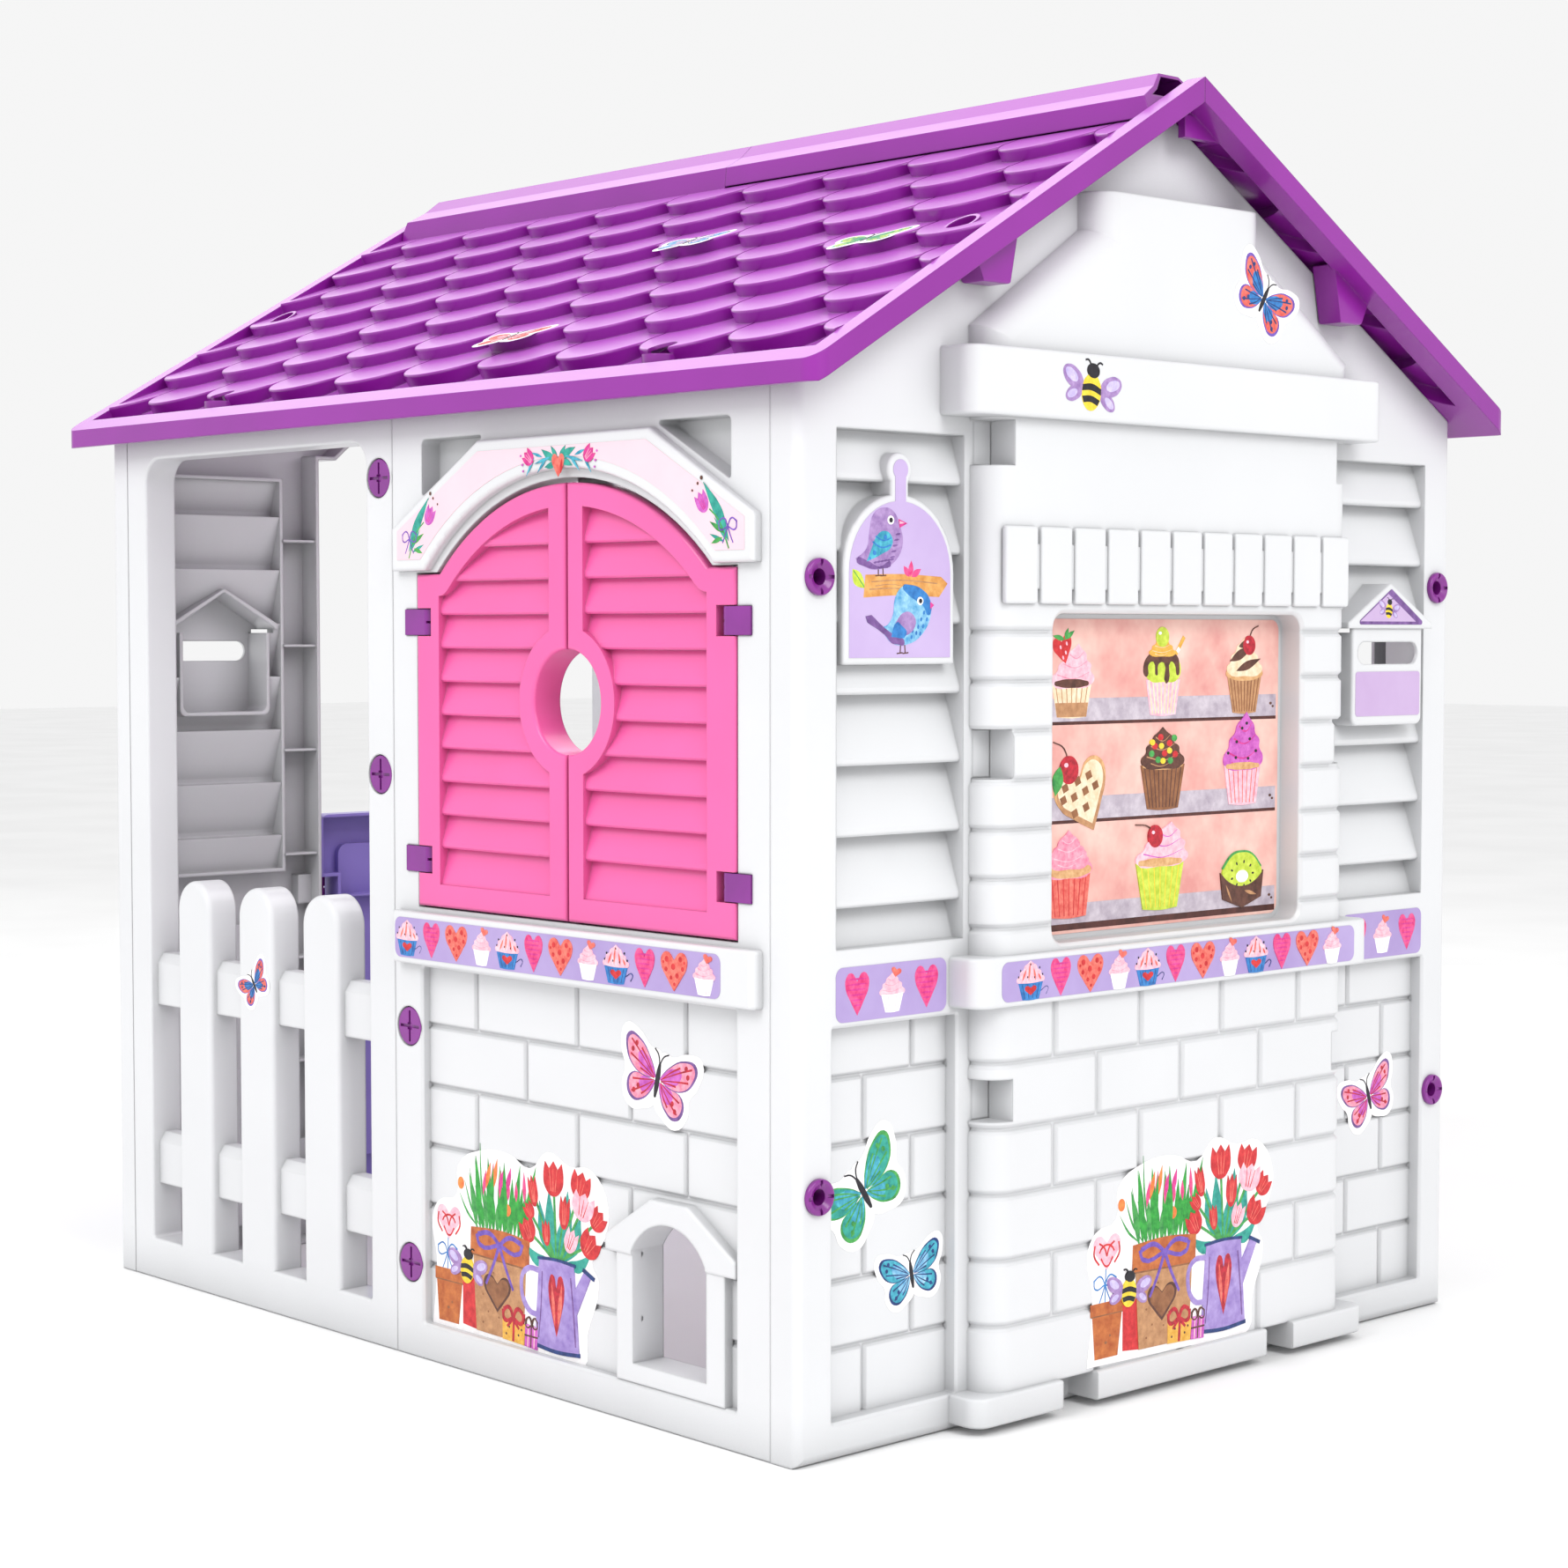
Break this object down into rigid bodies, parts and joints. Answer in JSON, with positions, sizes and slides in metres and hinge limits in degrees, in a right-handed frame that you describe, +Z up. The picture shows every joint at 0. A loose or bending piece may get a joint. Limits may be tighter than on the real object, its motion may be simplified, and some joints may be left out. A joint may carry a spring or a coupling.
{
  "type": "plastic playhouse",
  "caption": "Small gable-roofed plastic playhouse with a picket fence opening, hinged round-window shutters, a chimney gable with a display recess, and a doorway with a half door.",
  "frame": {"origin": "on the floor, under the middle of the roof", "axes": "+X along the ridge towards the chimney gable, -Y out of the front wall, +Z up"},
  "size_m": [1.03, 0.839, 1.0424],
  "materials": {
    "white_plastic": "moulded white polyethylene, satin",
    "purple_plastic": "moulded purple polyethylene, glossy",
    "pink_plastic": "moulded pink polyethylene, satin",
    "door_plastic": "moulded violet polyethylene, satin",
    "violet_fittings": "injection-moulded purple fittings, glossy",
    "printed_label": "thin printed film, satin"
  },
  "bodies": {
    "house": {"front_fence_panel": "white_plastic", "front_window_panel": "white_plastic", "back_fence_panel": "white_plastic", "back_window_panel": "white_plastic", "chimney_gable": "white_plastic", "doorway_gable": "white_plastic", "roof_front": "purple_plastic", "roof_back": "purple_plastic", "front_left_hinge_clips": "violet_fittings", "front_right_hinge_clips": "violet_fittings", "back_left_hinge_clips": "violet_fittings", "back_right_hinge_clips": "violet_fittings", "half_door_hinge_clips": "violet_fittings", "seam_screws": "violet_fittings", "seam_nuts": "violet_fittings", "corner_bolts": "violet_fittings", "corner_nuts": "violet_fittings", "roof_screws": "violet_fittings", "sill_labels": "printed_label", "shelf_label": "printed_label", "belt_labels": "printed_label", "header_labels": "printed_label", "birdcage_labels": "printed_label", "mailbox_roof_labels": "printed_label", "mailbox_plate_labels": "printed_label", "display_card": "printed_label"},
    "front_left_leaf": {"front_left_shutter": "pink_plastic"},
    "front_right_leaf": {"front_right_shutter": "pink_plastic"},
    "back_left_leaf": {"back_left_shutter": "pink_plastic"},
    "back_right_leaf": {"back_right_shutter": "pink_plastic"},
    "door_leaf": {"half_door": "door_plastic"}
  },
  "joints": [
    {"name": "front_left_shutter_hinge", "type": "hinge", "parent": "house", "child": "front_left_leaf", "pos_m": [0.02593, -0.391, 0.514], "axis": [0, 0, -1], "range_deg": [0, 110]},
    {"name": "front_right_shutter_hinge", "type": "hinge", "parent": "house", "child": "front_right_leaf", "pos_m": [0.39792, -0.391, 0.514], "axis": [0, 0, 1], "range_deg": [0, 110]},
    {"name": "back_left_shutter_hinge", "type": "hinge", "parent": "house", "child": "back_left_leaf", "pos_m": [-0.02593, 0.391, 0.514], "axis": [0, 0, -1], "range_deg": [0, 110]},
    {"name": "back_right_shutter_hinge", "type": "hinge", "parent": "house", "child": "back_right_leaf", "pos_m": [-0.39792, 0.391, 0.514], "axis": [0, 0, 1], "range_deg": [0, 110]},
    {"name": "half_door_hinge", "type": "hinge", "parent": "house", "child": "door_leaf", "pos_m": [-0.4675, -0.1719, 0.219], "axis": [0, 0, 1], "range_deg": [0, 110]}
  ]
}
